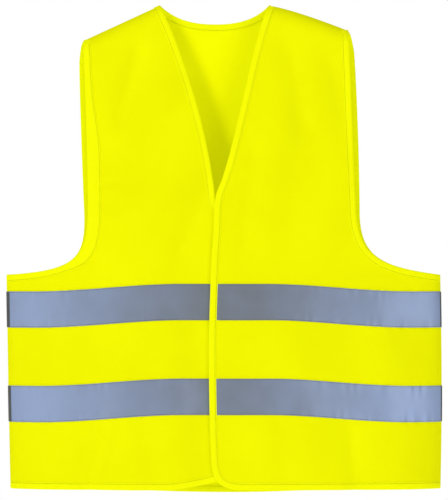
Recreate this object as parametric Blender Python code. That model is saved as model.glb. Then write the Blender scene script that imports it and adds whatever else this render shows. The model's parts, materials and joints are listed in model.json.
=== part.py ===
"""A sleeveless high visibility vest, hung by its shoulders with its front closed.

Metres. +Z is up, +X is the wearer's left, and the front faces -Y. The origin lies midway between the
two neck points, at the height where the wearer's or a hanger's shoulders carry the vest.

Each cloth panel is a pattern outline in (u, z), where u runs outwards from the middle of the body.
`on_cloth` hangs a pattern point on the front or back of the body, and every piece is built with it.
"""

import math

import bmesh
import bpy
from mathutils import Vector
from mathutils.geometry import delaunay_2d_cdt

# Body
HALF_WIDTH = 0.302
FRONT_LENGTH = 0.6712
SIDE_LENGTH = 0.671
BACK_LENGTH = 0.6797
TOP_HALF_DEPTH = 0.016
HEM_HALF_DEPTH = 0.052
WIDEST_Z = -0.44
HEM_TAPER = 0.05
BODY_POWER = 3
TOP_SWAY = -0.0153

# Neck, shoulders and armholes
NECK_U = 0.0765
SHOULDER_U = 0.1835
SHOULDER_DROP = {"left": 0.0345, "right": 0.0483}
SHOULDER_BOW = {"left": 1.25, "right": 1.0}
CREST_HEIGHT = 0.020
BACK_NECK_DROP = 0.0261
BACK_SPREAD = 0.0078
UNDERARM_Z = -0.3757
UNDERARM_HANDLE = {"left": (0.223, -0.3650), "right": (0.205, -0.3700)}

# Feet of the two sides of the V
LEFT_V_FOOT = (-0.0108, -0.312)
RIGHT_V_FOOT = (0.010, -0.270)

# Cloth, tape and trim
CLOTH = 0.0008
TAPE_WIDTH = 0.050
TAPE_THICKNESS = 0.0006
TAPE_SIDE_DROP, TAPE_DROP_FROM_U, TAPE_DROP_OVER = 0.0105, 0.06, 0.20
TAPE_CENTRE_Z = {"upper": -0.4125, "lower": -0.5435}
BINDING_WIDTH = 0.009
FACING_EXTRA, FACING_FROM_Z, FACING_GROWS_OVER = 0.0085, -0.10, 0.11
FACING_ENDS_U, FACING_FADES_OVER = 0.225, 0.035
BINDING_THICKNESS = 0.0004
GAP = 0.0004
BINDING_GAP = 0.0006
SEAM_GAP = 0.0010
SEAM_THICKNESS = 0.0012
SHOULDER_SEAM_HALF_WIDTH = 0.0038
SIDE_SEAM_HALF_DEPTH = 0.0016
SHARP_ANGLE = math.radians(35)

# Front closure: the left front lies over the right one
TUCK = 0.0044
TUCK_FROM_U, TUCK_TO_U = 0.098, 0.026
PATCH_MIDDLE_X = 0.004
PATCH_WIDTH, PATCH_HEIGHT, PATCH_THICKNESS = 0.016, 0.050, 0.0010
PATCH_CENTRE_Z = {"upper": -0.350, "lower": -0.479}

# Fold lines about which the two fronts open
FOLD_HEM_U = 0.150
FOLD_GAP = 0.0036
FLAP_TOP_Z = -0.020
AXIS_PROUD = 0.0032

# Care label
LABEL_WIDTH, LABEL_HEIGHT, LABEL_THICKNESS = 0.030, 0.052, 0.0005
LABEL_TOP_Z = -0.592
LABEL_SEWN_U = 0.288

SIDE = {"left": 1, "right": -1}
LAYER = {"front": -1, "back": 1}
SIDE_U = 0.997 * HALF_WIDTH
STATIONS = [0.015 * i for i in range(7)] + [0.12, 0.15, 0.18, 0.21, 0.24, 0.258]
STATIONS += [0.272, 0.283, 0.291, 0.2965, SIDE_U]
ROWS = sorted([-0.045 * i for i in range(1, 15)] + [-0.390, -0.658], reverse=True)
POINT_CLEARANCE = 0.003
NORMAL_STEP = 0.0008
CREST_STEPS = 5
CREST_ROWS = [0.004, 0.009, 0.015, 0.021, 0.028]

YELLOW = (0.80, 0.86, 0.0)
SILVER = (0.52, 0.55, 0.60)
PALE = (0.85, 0.86, 0.84)


# ---------------------------------------------------------------- the hung body

def sway(z):
    """How far the cloth at this height hangs from the body's middle plane."""
    return TOP_SWAY * (1 + z / FRONT_LENGTH) * abs(1 + z / FRONT_LENGTH)


def side_line(z):
    """Half the body's width at this height."""
    below = min(0.0, z - WIDEST_Z)
    return HALF_WIDTH - HEM_TAPER * below * below


def shoulder_z(side, u):
    """Height of the shoulder line over this point of the pattern."""
    share = max(0.0, (u - NECK_U) / (SHOULDER_U - NECK_U))
    return -SHOULDER_DROP[side] * share ** SHOULDER_BOW[side]


def tuck(side, u):
    """How far the right front lies behind the left one near the closure."""
    if side == "left":
        return 0.0
    share = min(1.0, max(0.0, (TUCK_FROM_U - u) / (TUCK_FROM_U - TUCK_TO_U)))
    return TUCK * share * share * (3 - 2 * share)


def surface(side, layer, u, z):
    """The cloth's middle surface at a point of the pattern."""
    down = min(1.0, max(0.0, -z / FRONT_LENGTH))
    depth = TOP_HALF_DEPTH + (HEM_HALF_DEPTH - TOP_HALF_DEPTH) * down
    across = math.sqrt(max(0.0, 1 - min(1.0, abs(u) / HALF_WIDTH) ** BODY_POWER))
    below = min(CREST_HEIGHT, max(0.0, shoulder_z(side, abs(u)) - z))
    crest = math.sqrt(max(0.0, 1 - (1 - below / CREST_HEIGHT) ** 2))
    y = LAYER[layer] * depth * across * crest
    if layer == "front":
        y += tuck(side, u)
    x = SIDE[side] * u * side_line(z) / HALF_WIDTH + sway(z)
    return Vector((x, y, z))


def outward(side, layer, u, z):
    """The cloth's outward normal."""
    inner_u = min(u, SIDE_U - NORMAL_STEP)
    here = surface(side, layer, inner_u, z)
    along = surface(side, layer, inner_u + NORMAL_STEP, z) - here
    down = surface(side, layer, inner_u, z - NORMAL_STEP) - here
    normal = along.cross(down).normalized()
    return normal if normal.y * LAYER[layer] > 0 else -normal


def on_cloth(side, layer, point, proud=0.0):
    """A pattern point hung on the body, stood proud of the cloth's middle surface."""
    u, z = point
    return surface(side, layer, u, z) + outward(side, layer, u, z) * proud


# ---------------------------------------------------------------- pattern curves

def bezier(start, handle_a, handle_b, end, pieces):
    """Points along a cubic curve, without its end."""
    corners = [Vector(p) for p in (start, handle_a, handle_b, end)]
    points = []
    for i in range(pieces):
        t = i / pieces
        weights = ((1 - t) ** 3, 3 * t * (1 - t) ** 2, 3 * t * t * (1 - t), t**3)
        points.append(sum((c * w for c, w in zip(corners, weights)), Vector((0, 0))))
    return points


def with_stations(path):
    """The path with a point added wherever it crosses one of the stations near the side."""
    close = [s for s in STATIONS if s > 0.25]
    points = [path[0]]
    for a, b in zip(path, path[1:]):
        crossed = [s for s in close if min(a.x, b.x) + 5e-4 < s < max(a.x, b.x) - 5e-4]
        for s in sorted(crossed, reverse=b.x < a.x):
            points.append(a.lerp(b, (s - a.x) / (b.x - a.x)))
        points.append(b)
    return points


def armhole(side, layer):
    """From the shoulder's outer end down to the underarm. The front is cut deeper than the back."""
    seam = Vector((SHOULDER_U, -SHOULDER_DROP[side] - SEAM_GAP))
    spread = BACK_SPREAD if layer == "back" else 0.0
    lowest = CREST_ROWS[-1]
    crest = [
        seam + Vector((spread * math.sqrt(drop / lowest), -drop)) for drop in (0, *CREST_ROWS[1:])
    ]
    top = crest.pop()
    end = Vector((SIDE_U, UNDERARM_Z))
    if layer == "front":
        waist = (0.185, -0.290)
        upper = bezier(top, (0.1835, -0.090), (0.183, -0.220), waist, 8)
        lower = bezier(waist, (0.188, -0.354), UNDERARM_HANDLE[side], end, 10)
    else:
        waist = (0.1918, -0.290)
        upper = bezier(top, (0.1925, top.y - 0.022), (0.1935, -0.200), waist, 9)
        lower = bezier(waist, (0.1915, -0.352), UNDERARM_HANDLE[side], end, 10)
    return crest + with_stations(upper + lower + [end])


def shoulder_edge(side):
    """From the neck point to the shoulder's outer end, along the seam's lower edge."""
    return [
        Vector((u, shoulder_z(side, u) - SEAM_GAP))
        for u in (NECK_U + (SHOULDER_U - NECK_U) * i / CREST_STEPS for i in range(CREST_STEPS + 1))
    ]


def neck_edge(side):
    """The V from the neck point down to where the fronts meet."""
    top = (NECK_U, -SEAM_GAP)
    if side == "left":
        turn = (-0.0040, -0.257)
        slope = bezier(top, (0.052, -0.045), (0.020, -0.210), turn, 11)
        return slope + bezier(turn, (-0.0085, -0.2675), (-0.0100, -0.285), LEFT_V_FOOT, 4)
    return bezier(top, (0.050, -0.060), (0.017, -0.171), RIGHT_V_FOOT, 11)


def front_edge(side):
    """From the foot of the V, down the front edge and round its bottom corner to the hem."""
    if side == "left":
        foot, hem = (-0.0186, -0.630), Vector((0.022, -FRONT_LENGTH))
        down = bezier(LEFT_V_FOOT, (-0.0175, -0.370), (-0.0250, -0.500), foot, 8)
        corner = bezier(foot, (-0.0175, -0.655), (-0.010, -0.6705), hem, 7)
    else:
        bend, foot = (-0.026, -0.315), (-0.026, -0.600)
        hem = Vector((0.075, -FRONT_LENGTH))
        down = bezier(RIGHT_V_FOOT, (0.008, -0.290), (-0.025, -0.292), bend, 6)
        down += bezier(bend, (-0.026, -0.40), (-0.026, -0.50), foot, 6)
        corner = bezier(foot, (-0.026, -0.655), (0.006, -0.6615), hem, 8)
    return down + corner + [hem]


def hem_z(u, layer):
    """Height of the hem: level along the front, lowest in the middle of the back."""
    share = min(1.0, abs(u) / SIDE_U)
    if layer == "front":
        return -FRONT_LENGTH + (FRONT_LENGTH - SIDE_LENGTH) * share**4
    return -BACK_LENGTH + (BACK_LENGTH - SIDE_LENGTH) * math.sin(share * math.pi / 2) ** 2


def hem_edge(start_u, end_u, layer):
    """The hem between two places, with the same stations as the cloth above it."""
    stations = [s for s in STATIONS if start_u + 0.006 < s < end_u - 0.001]
    return [Vector((u, hem_z(u, layer))) for u in [start_u, *stations, end_u]]


def side_edge():
    """The side, from the hem up to the underarm."""
    steps = 7
    return [
        Vector((SIDE_U, -SIDE_LENGTH + (UNDERARM_Z + SIDE_LENGTH) * i / steps))
        for i in range(steps + 1)
    ]


def fold_u(side, z):
    """Where the straight line about which a front opens, from the neck point to the hem, crosses
    this height."""
    top_x = SIDE[side] * NECK_U + sway(0)
    hem_x = SIDE[side] * FOLD_HEM_U * side_line(-FRONT_LENGTH) / HALF_WIDTH
    x = top_x + (hem_x - top_x) * -z / FRONT_LENGTH
    return SIDE[side] * (x - sway(z)) * HALF_WIDTH / side_line(z)


def cut_from(path, low_z, high_z):
    """The stretch of a falling path between two heights, ending exactly on them."""
    points = []
    for a, b in zip(path, path[1:]):
        for z in (high_z, low_z):
            if b.y < z < a.y:
                points.append(a.lerp(b, (z - a.y) / (b.y - a.y)))
        if low_z < b.y < high_z:
            points.append(b)
    if low_z < path[0].y <= high_z:
        points.insert(0, path[0])
    return points


def fold_edge(side, top_z, shift):
    """The fold line from the top down to the hem, moved outwards by shift."""
    heights = [top_z, *[z for z in ROWS if z < top_z - 0.01]]
    points = [Vector((fold_u(side, z) + shift, z)) for z in heights]
    end_u = fold_u(side, -FRONT_LENGTH) + shift
    return points + [Vector((end_u, hem_z(end_u, "front")))]


def flap_edge(side):
    """The bound edge of the part that swings: the V, the front edge, and the hem to the fold."""
    edge = cut_from(neck_edge(side) + front_edge(side)[:1], -1.0, FLAP_TOP_Z)
    edge += front_edge(side)[1:]
    end_u = fold_u(side, -FRONT_LENGTH) - FOLD_GAP / 2
    return edge + hem_edge(edge[-1].x, end_u, "front")[1:]


def flap_outline(side):
    """The part of a front that swings open."""
    fold = fold_edge(side, FLAP_TOP_Z, -FOLD_GAP / 2)
    return flap_edge(side) + fold[-2::-1]


def fixed_outline(side):
    """The part of a front that stays with the back, from the fold line to the side."""
    shift = FOLD_GAP / 2
    join_z = FLAP_TOP_Z + FOLD_GAP
    neck = cut_from(neck_edge(side), join_z, 1.0)
    fold = fold_edge(side, join_z, shift)
    hem = hem_edge(fold[-1].x, SIDE_U, "front")
    outline = shoulder_edge(side)[::-1] + neck[1:] + fold + hem[1:] + side_edge()[1:]
    return outline + armhole(side, "front")[-2:0:-1]


def back_neck(side):
    """The back neckline, from the neck point to the middle."""
    low = (0.0, -BACK_NECK_DROP)
    top = (NECK_U, -SEAM_GAP)
    return bezier(top, (0.063, -0.013), (0.043, -0.0262), low, 11) + [Vector(low)]


# ---------------------------------------------------------------- meshes

def inside(point, outline):
    """Whether a point lies in a closed outline."""
    hit = False
    for a, b in zip(outline, outline[1:] + outline[:1]):
        if (a.y > point.y) != (b.y > point.y):
            cross_x = a.x + (b.x - a.x) * (point.y - a.y) / (b.y - a.y)
            hit ^= point.x < cross_x
    return hit


def clear_of(point, outline, distance):
    """Whether a point lies at least a distance from a closed outline."""
    for a, b in zip(outline, outline[1:] + outline[:1]):
        along = b - a
        share = (point - a).dot(along) / max(along.length_squared, 1e-12)
        if (point - a - along * min(1.0, max(0.0, share))).length < distance:
            return False
    return True


def filled(outline, grid):
    """(points, triangles) of the cloth inside an outline, with its inner points from the grid."""
    inner = [p for p in grid if inside(p, outline) and clear_of(p, outline, POINT_CLEARANCE)]
    count = len(outline)
    edges = [(i, (i + 1) % count) for i in range(count)]
    points, _, faces, *_ = delaunay_2d_cdt(outline + inner, edges, [], 1, 1e-7)
    return points, faces


def grid_of(side):
    """Pattern points on the stations and rows, and along the shoulder."""
    stations = [s for s in STATIONS if s < SIDE_U]
    columns = [-s for s in stations if 0 < s < 0.02] + stations
    grid = [Vector((u, z)) for u in columns for z in ROWS]
    span = SHOULDER_U - NECK_U
    steps = [NECK_U + span * i / CREST_STEPS for i in range(-1, CREST_STEPS + 1)]
    crest = [Vector((u, shoulder_z(side, u) - d)) for u in steps for d in CREST_ROWS]
    lowest_crest = CREST_ROWS[-1] + 0.008
    kept = [p for p in grid if not NECK_U < p.x < SHOULDER_U + 0.01
            or p.y < shoulder_z(side, p.x) - lowest_crest]
    return kept + crest


def material(name, colour, roughness, metallic=0.0):
    made = bpy.data.materials.new(name)
    made.use_nodes = True
    shader = made.node_tree.nodes["Principled BSDF"]
    shader.inputs["Base Color"].default_value = (*colour, 1.0)
    shader.inputs["Roughness"].default_value = roughness
    shader.inputs["Metallic"].default_value = metallic
    return made


def add(name, mesh_data, finish, pivot=None):
    """A named object from (points, faces), with its origin on its joint's axis if it moves."""
    points, faces = mesh_data
    origin = pivot.location if pivot else Vector()
    mesh = bpy.data.meshes.new(name)
    mesh.from_pydata([Vector(p) - origin for p in points], [], faces)
    mesh.materials.append(finish)
    mesh.validate()
    made = bpy.data.objects.new(name, mesh)
    bpy.context.scene.collection.objects.link(made)
    made.parent = pivot
    return made


def face_out(made, smooth=True):
    """Recalculates a closed mesh's normals, and shades it smooth between its sharp edges."""
    bm = bmesh.new()
    bm.from_mesh(made.data)
    bmesh.ops.recalc_face_normals(bm, faces=bm.faces)
    bm.to_mesh(made.data)
    bm.free()
    if smooth:
        made.data.shade_smooth()
        made.data.set_sharp_from_angle(angle=SHARP_ANGLE)
    return made


def thickened(sheet, thickness):
    """(points, faces) of a closed solid from a sheet given as (points, normals, triangles)."""
    points, normals, faces = sheet
    half = thickness / 2
    outer = [p + n * half for p, n in zip(points, normals)]
    inner = [p - n * half for p, n in zip(points, normals)]
    count = len(points)
    uses = {}
    for face in faces:
        for a, b in zip(face, face[1:] + face[:1]):
            uses[(a, b)] = True
    rim = [(a, b) for a, b in uses if (b, a) not in uses]
    solid = [tuple(f) for f in faces]
    solid += [tuple(count + i for i in reversed(f)) for f in faces]
    solid += [(b, a, count + a, count + b) for a, b in rim]
    return outer + inner, solid


def cloth_solid(side, layer, outline, proud=0.0, thickness=CLOTH):
    """A closed solid of cloth inside an outline on one side of the body."""
    points, faces = filled(outline, grid_of(side))
    sheet = (
        [on_cloth(side, layer, p, proud) for p in points],
        [outward(side, layer, p.x, p.y) for p in points],
        [list(f) for f in faces],
    )
    return thickened(sheet, thickness)


def strip_solid(side, layer, columns, proud, thickness):
    """A closed solid from columns of (top, bottom) pattern points."""
    points = [p for column in columns for p in column]
    faces = []
    for i in range(len(columns) - 1):
        a = 2 * i
        faces += [[a, a + 1, a + 3], [a, a + 3, a + 2]]
    sheet = (
        [on_cloth(side, layer, p, proud) for p in points],
        [outward(side, layer, p.x, p.y) for p in points],
        faces,
    )
    return thickened(sheet, thickness)


def swept(rings):
    """(points, faces) of a closed solid through rings of points, capped at both ends."""
    size = len(rings[0])
    points = [p for ring in rings for p in ring]
    faces = []
    for i in range(len(rings) - 1):
        for k in range(size):
            m = (k + 1) % size
            here, after = i * size, (i + 1) * size
            faces.append((here + k, here + m, after + m, after + k))
    faces.append(tuple(range(size)))
    faces.append(tuple((len(rings) - 1) * size + k for k in reversed(range(size))))
    return points, faces


def eased(share):
    share = min(1.0, max(0.0, share))
    return share * share * (3 - 2 * share)


def binding_width(side, layer, point):
    """How wide the binding is here: all alike, but for the wider turning of the right front
    armhole below the chest."""
    if (side, layer) != ("right", "front") or point.x < SHOULDER_U - 0.01:
        return BINDING_WIDTH
    down = eased((FACING_FROM_Z - point.y) / FACING_GROWS_OVER)
    return BINDING_WIDTH + FACING_EXTRA * down * eased((FACING_ENDS_U - point.x) / FACING_FADES_OVER)


def binding_profile(width):
    """The folded binding's section: (into the cloth from its edge, out of the cloth)."""
    slot = CLOTH / 2 + BINDING_GAP
    crown = slot + BINDING_THICKNESS
    mid = width / 2
    return (
        (width, crown), (mid, crown), (-crown, crown), (-crown, -crown), (mid, -crown),
        (width, -crown), (width, -slot), (mid, -slot), (-slot, -slot), (-slot, slot),
        (mid, slot), (width, slot),
    )


def binding_rings(side, layer, path, inner_side):
    """Rings of the folded binding along an edge. inner_side is 1 where the cloth lies to the left
    of the path's direction in the pattern, and -1 where it lies to the right."""
    rings = []
    for i, point in enumerate(path):
        before, after = path[max(0, i - 1)], path[min(len(path) - 1, i + 1)]
        along = (after - before).normalized()
        inward = Vector((-along.y, along.x)) * inner_side
        if abs(point.x) > SIDE_U - 0.004:
            inward = Vector((0, 1 if inward.y > 0 else -1))
        base = on_cloth(side, layer, point)
        into = (on_cloth(side, layer, point + inward * BINDING_WIDTH / 2) - base).normalized()
        normal = outward(side, layer, point.x, point.y)
        rings.append([
            on_cloth(side, layer, point + inward * b, n) if b > 0 else base + into * b + normal * n
            for b, n in binding_profile(binding_width(side, layer, point))
        ])
    return rings


# ---------------------------------------------------------------- pieces

def panels(finish, pivots):
    for side in SIDE:
        pivot = pivots[side]
        flap = cloth_solid(side, "front", flap_outline(side))
        fixed = cloth_solid(side, "front", fixed_outline(side))
        face_out(add(f"{side}_front_flap", flap, finish, pivot))
        face_out(add(f"{side}_front_side", fixed, finish))
    face_out(add("back_panel", back_solid(), finish))


def back_outline(side):
    """Half of the back, open along the middle."""
    hem = hem_edge(0.0, SIDE_U, "back")
    outline = back_neck(side)[::-1] + shoulder_edge(side)[1:]
    return outline + armhole(side, "back")[1:] + side_edge()[-2::-1] + hem[-2::-1]


def back_solid():
    """The whole back panel: its two halves share the points on the middle line."""
    points, normals, faces, place = [], [], [], {}
    for side in SIDE:
        outline = back_outline(side)
        grid = [p for p in grid_of(side) if p.x > 1e-4]
        middle = [Vector((0.0, z)) for z in ROWS if z < -BACK_NECK_DROP - 0.01]
        flat, triangles = filled(outline + middle[::-1], grid)
        index = []
        for p in flat:
            hung = on_cloth(side, "back", p)
            key = tuple(round(c, 5) for c in hung) if p.x < 1e-4 else (side, len(place))
            if key not in place:
                place[key] = len(points)
                points.append(hung)
                normals.append(Vector((0, 1, 0)) if p.x < 1e-4 else outward(side, "back", *p))
            index.append(place[key])
        turned = [[index[i] for i in f] for f in triangles]
        faces += turned if side == "left" else [f[::-1] for f in turned]
    return thickened((points, normals, faces), CLOTH)


def tape_z(name, u):
    """Height of a tape's middle, which drops a little towards the sides."""
    share = min(1.0, max(0.0, (abs(u) - TAPE_DROP_FROM_U) / TAPE_DROP_OVER))
    return TAPE_CENTRE_Z[name] - TAPE_SIDE_DROP * share * share * (3 - 2 * share)


def tape_columns(name, start, end):
    """Columns of a tape between two lines, each given as u at a height."""
    def ends_at(line):
        centre = tape_z(name, line(TAPE_CENTRE_Z[name]))
        heights = (centre + TAPE_WIDTH / 2, centre - TAPE_WIDTH / 2)
        return [Vector((line(z), z)) for z in heights]

    first, last = ends_at(start), ends_at(end)
    low = max(p.x for p in first) + 0.004
    high = min(p.x for p in last) - 0.001
    between = [s for s in STATIONS if low < s < high]
    columns = [[Vector((u, tape_z(name, u) + h)) for h in (TAPE_WIDTH / 2, -TAPE_WIDTH / 2)]
               for u in between]
    return [first, *columns, last]


def front_edge_u(side, z):
    """Where the front edge lies at this height."""
    path = front_edge(side)
    for a, b in zip(path, path[1:]):
        if b.y <= z <= a.y:
            return a.lerp(b, (z - a.y) / (b.y - a.y)).x
    return path[0].x


def tapes(finish, pivots):
    proud = CLOTH / 2 + GAP + TAPE_THICKNESS / 2
    clear = BINDING_WIDTH + GAP
    for name in TAPE_CENTRE_Z:
        for side in SIDE:
            flap = tape_columns(
                name,
                lambda z, s=side: front_edge_u(s, z) + clear,
                lambda z, s=side: fold_u(s, z) - FOLD_GAP / 2,
            )
            fixed = tape_columns(
                name, lambda z, s=side: fold_u(s, z) + FOLD_GAP / 2, lambda z: SIDE_U
            )
            solid = strip_solid(side, "front", flap, proud, TAPE_THICKNESS)
            face_out(add(f"{side}_{name}_tape_flap", solid, finish, pivots[side]))
            solid = strip_solid(side, "front", fixed, proud, TAPE_THICKNESS)
            face_out(add(f"{side}_{name}_tape_side", solid, finish))
        face_out(add(f"back_{name}_tape", back_tape(name, proud), finish))


def back_tape(name, proud):
    """One tape right across the back, from side seam to side seam."""
    points, normals = [], []
    right = [("right", u) for u in reversed(STATIONS) if u > 0]
    for side, u in right + [("left", u) for u in STATIONS]:
        for h in (TAPE_WIDTH / 2, -TAPE_WIDTH / 2):
            z = tape_z(name, u) + h
            points.append(on_cloth(side, "back", (u, z), proud))
            normals.append(outward(side, "back", u, z) if u else Vector((0, 1, 0)))
    faces = []
    for i in range(len(points) // 2 - 1):
        a = 2 * i
        faces += [[a, a + 1, a + 3], [a, a + 3, a + 2]]
    return thickened((points, normals, faces), TAPE_THICKNESS)


def front_bindings(finish, pivots):
    """The folded binding down each front's edge and round to the fold line, then on to the side."""
    for side in SIDE:
        rings = binding_rings(side, "front", flap_edge(side), 1)
        face_out(add(f"{side}_front_binding", swept(rings), finish, pivots[side]))
        hem = hem_edge(fold_u(side, -FRONT_LENGTH) + FOLD_GAP / 2, SIDE_U, "front")
        rings = binding_rings(side, "front", hem, 1)
        face_out(add(f"{side}_front_hem_binding", swept(rings), finish))


def back_bindings(finish):
    hem = hem_edge(0.0, SIDE_U, "back")
    right = binding_rings("right", "back", hem, 1)
    left = binding_rings("left", "back", hem, 1)
    face_out(add("back_hem_binding", swept(right[:0:-1] + left), finish))
    neck = {side: back_neck(side)[2:] for side in SIDE}
    right = binding_rings("right", "back", neck["right"], 1)
    left = binding_rings("left", "back", neck["left"], 1)
    face_out(add("back_neck_binding", swept(right + left[-2::-1]), finish))


def armhole_bindings(finish):
    """A binding round each armhole, in a front and a back length sewn in before the seams."""
    for side in SIDE:
        for layer in LAYER:
            path = armhole(side, layer)[1:]
            rings = binding_rings(side, layer, path, -1)
            face_out(add(f"{side}_{layer}_armhole_binding", swept(rings), finish))


def seams(finish):
    for side in SIDE:
        face_out(add(f"{side}_shoulder_seam", shoulder_seam(side), finish), smooth=False)
        face_out(add(f"{side}_side_seam", side_seam(side), finish))


def shoulder_seam(side):
    """The pressed seam along the shoulder, flat underneath where it rests on the wearer."""
    start_u, end_u = NECK_U + 0.004, SHOULDER_U - 0.003
    rings = []
    for u in (start_u, end_u):
        x = SIDE[side] * u + sway(shoulder_z(side, u))
        top = Vector((x, 0, shoulder_z(side, u) - SEAM_GAP / 2))
        drop = Vector((0, 0, -SEAM_THICKNESS))
        wide = Vector((0, SHOULDER_SEAM_HALF_WIDTH, 0))
        rings.append([top + wide, top - wide, top - wide + drop, top + wide + drop])
    return swept(rings)


def side_seam(side):
    """The closed seam down the side, between the edges of the front and the back."""
    rings = []
    for point in side_edge():
        x = SIDE[side] * side_line(point.y) + sway(point.y)
        half, thick = SIDE_SEAM_HALF_DEPTH, SEAM_THICKNESS / 2
        rings.append([Vector((x + a, b, point.y)) for a, b in (
            (thick, half), (-thick, half), (-thick, -half), (thick, -half))])
    return swept(rings)


def patches(finish, pivots):
    """Hook patches inside the left front, and loop patches outside the right front."""
    proud = CLOTH / 2 + GAP + PATCH_THICKNESS / 2
    for name, centre in PATCH_CENTRE_Z.items():
        for side, kind, stand in (("left", "hook", -proud), ("right", "loop", proud)):
            middle_u = SIDE[side] * (PATCH_MIDDLE_X - sway(centre))
            edges = (middle_u - PATCH_WIDTH / 2, middle_u + PATCH_WIDTH / 2)
            columns = [[Vector((u, centre + h)) for h in (PATCH_HEIGHT / 2, -PATCH_HEIGHT / 2)]
                       for u in edges]
            solid = strip_solid(side, "front", columns, stand, PATCH_THICKNESS)
            face_out(add(f"{kind}_patch_{name}", solid, finish, pivots[side]), smooth=False)


def care_label(finish, pivot):
    """A blank label sewn into the left side seam by one edge, hanging inside the vest."""
    far = -LABEL_WIDTH
    half = LABEL_THICKNESS / 2
    corners = [(0, 0), (far, 0), (far, -LABEL_HEIGHT), (0, -LABEL_HEIGHT)]
    top = [Vector((x, -half, z)) + pivot.location for x, z in corners]
    bottom = [Vector((x, half, z)) + pivot.location for x, z in corners]
    face_out(add("care_label", swept([top, bottom]), finish, pivot), smooth=False)


# ---------------------------------------------------------------- assembly

def clear_scene():
    for old in list(bpy.data.objects):
        bpy.data.objects.remove(old, do_unlink=True)


def pivot_empty(name, place):
    made = bpy.data.objects.new(name, None)
    made.location = place
    bpy.context.scene.collection.objects.link(made)
    return made


def fold_axis(side):
    """(top, bottom) of the line about which a front opens, just outside the cloth."""
    ends = []
    for z in (-0.03, -FRONT_LENGTH):
        point = surface(side, "front", fold_u(side, z), z)
        ends.append(point - Vector((0, AXIS_PROUD, 0)))
    return ends


def build():
    clear_scene()
    cloth = material("fluorescent_cloth", YELLOW, 0.8)
    trim = material("binding_cloth", YELLOW, 0.7)
    tape = material("reflective_tape", SILVER, 0.4, 0.3)
    closure = material("hook_and_loop", YELLOW, 0.95)
    label = material("label_satin", PALE, 0.5)
    pivots = {side: pivot_empty(f"{side}_front_axis", fold_axis(side)[1]) for side in SIDE}
    label_x = LABEL_SEWN_U + sway(LABEL_TOP_Z)
    label_pivot = pivot_empty("care_label_axis", Vector((label_x, 0, LABEL_TOP_Z)))
    panels(cloth, pivots)
    tapes(tape, pivots)
    front_bindings(trim, pivots)
    back_bindings(trim)
    armhole_bindings(trim)
    seams(cloth)
    patches(closure, pivots)
    care_label(label, label_pivot)
    bpy.context.view_layer.update()


build()
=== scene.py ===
"""The looks of a high visibility vest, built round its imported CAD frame.

Metres. +Z is up, +X is the wearer's left, and the front faces -Y, as in the frame. Every cloth
piece is a pattern outline in (u, z), where u runs outwards from the middle of the body, hung on the
same body as the CAD's panels. `hang` adds the soft folds, so cloth, tape, binding and stitches
share them.
"""

import json
import math

import bmesh
import bpy
import numpy as np
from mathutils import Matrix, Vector
from mathutils.geometry import delaunay_2d_cdt


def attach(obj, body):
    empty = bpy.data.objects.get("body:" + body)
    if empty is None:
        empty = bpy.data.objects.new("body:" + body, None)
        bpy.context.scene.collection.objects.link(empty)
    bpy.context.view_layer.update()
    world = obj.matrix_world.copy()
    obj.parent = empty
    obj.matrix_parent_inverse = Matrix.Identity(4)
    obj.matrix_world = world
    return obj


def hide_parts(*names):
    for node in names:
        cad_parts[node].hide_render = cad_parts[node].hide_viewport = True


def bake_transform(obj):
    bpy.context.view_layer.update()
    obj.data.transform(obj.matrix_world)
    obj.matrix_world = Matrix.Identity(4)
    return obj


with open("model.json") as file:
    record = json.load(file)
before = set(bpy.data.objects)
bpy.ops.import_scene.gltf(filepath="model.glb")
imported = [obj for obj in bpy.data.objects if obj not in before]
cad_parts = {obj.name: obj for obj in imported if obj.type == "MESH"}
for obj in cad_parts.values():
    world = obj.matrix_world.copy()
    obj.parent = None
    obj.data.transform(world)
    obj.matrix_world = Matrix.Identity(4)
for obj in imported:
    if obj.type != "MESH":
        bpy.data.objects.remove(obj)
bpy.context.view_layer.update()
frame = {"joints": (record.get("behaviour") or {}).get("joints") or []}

# The body, as in the CAD
HALF_WIDTH = 0.302
SIDE_U = 0.997 * HALF_WIDTH
FRONT_LENGTH, SIDE_LENGTH, BACK_LENGTH = 0.6712, 0.671, 0.6797
TOP_HALF_DEPTH, HEM_HALF_DEPTH = 0.016, 0.052
WIDEST_Z, HEM_TAPER, BODY_POWER = -0.44, 0.05, 3
TOP_SWAY = -0.0153
NECK_U, SHOULDER_U = 0.0765, 0.1835
SHOULDER_DROP = {"left": 0.0345, "right": 0.0483}
SHOULDER_BOW = {"left": 1.25, "right": 1.0}
CREST_HEIGHT = 0.020
BACK_NECK_DROP = 0.0261
BACK_SPREAD, CREST_DROP = 0.0078, 0.028
UNDERARM_Z = -0.3757
UNDERARM_HANDLE = {"left": (0.223, -0.3650), "right": (0.205, -0.3700)}
FACING_EXTRA, FACING_FROM_Z, FACING_GROWS_OVER = 0.0085, -0.10, 0.11
FACING_ENDS_U, FACING_FADES_OVER = 0.225, 0.035
TAPE_WIDTH, TAPE_SIDE_DROP = 0.050, 0.0105
TAPE_DROP_FROM_U, TAPE_DROP_OVER = 0.06, 0.20
TAPE_CENTRE_Z = {"upper": -0.4125, "lower": -0.5435}
TUCK, TUCK_FROM_U, TUCK_TO_U = 0.0044, 0.098, 0.026
PATCH_MIDDLE_X, PATCH_WIDTH, PATCH_HEIGHT = 0.004, 0.016, 0.050
PATCH_CENTRE_Z = {"upper": -0.350, "lower": -0.479}
LABEL_WIDTH, LABEL_HEIGHT = 0.030, 0.052
SIDE = {"left": 1, "right": -1}
LAYER = {"front": -1, "back": 1}

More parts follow.
